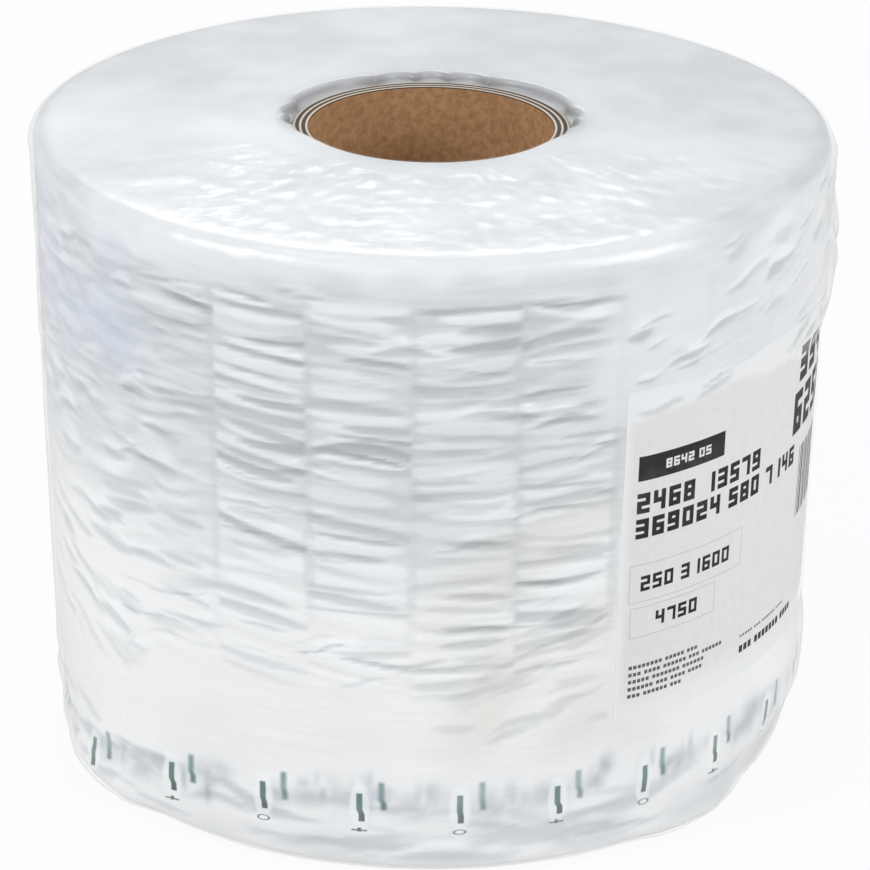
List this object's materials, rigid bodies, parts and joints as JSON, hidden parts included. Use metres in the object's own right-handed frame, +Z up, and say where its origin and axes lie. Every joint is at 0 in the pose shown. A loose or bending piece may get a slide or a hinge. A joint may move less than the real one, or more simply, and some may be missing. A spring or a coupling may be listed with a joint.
{
  "type": "air column roll",
  "caption": "Roll of flat, uninflated air column cushioning film wound on a cardboard core, with a paper label and a clear outer wrap, standing on end.",
  "frame": {"origin": "middle of the foot, on the surface that the roll stands on", "axes": "+Z runs up the roll's axis, from the foot to the open mouth shown; -Y is the front, with the label round to its right, towards +X"},
  "size_m": [0.2494, 0.2494, 0.2006],
  "materials": {
    "core_board": "matte brown board, spirally wound, with pale cut edges",
    "column_film": "many turns of clear film, milky white and glossy, creased between its welded seams",
    "label_paper": "matte pale grey paper with plain black shapes and numbers",
    "clear_wrap": "clear, glossy, crinkled film"
  },
  "bodies": {
    "root": {"core_tube": "core_board", "film_roll": "column_film", "label": "label_paper", "wrap": "clear_wrap"}
  },
  "joints": []
}
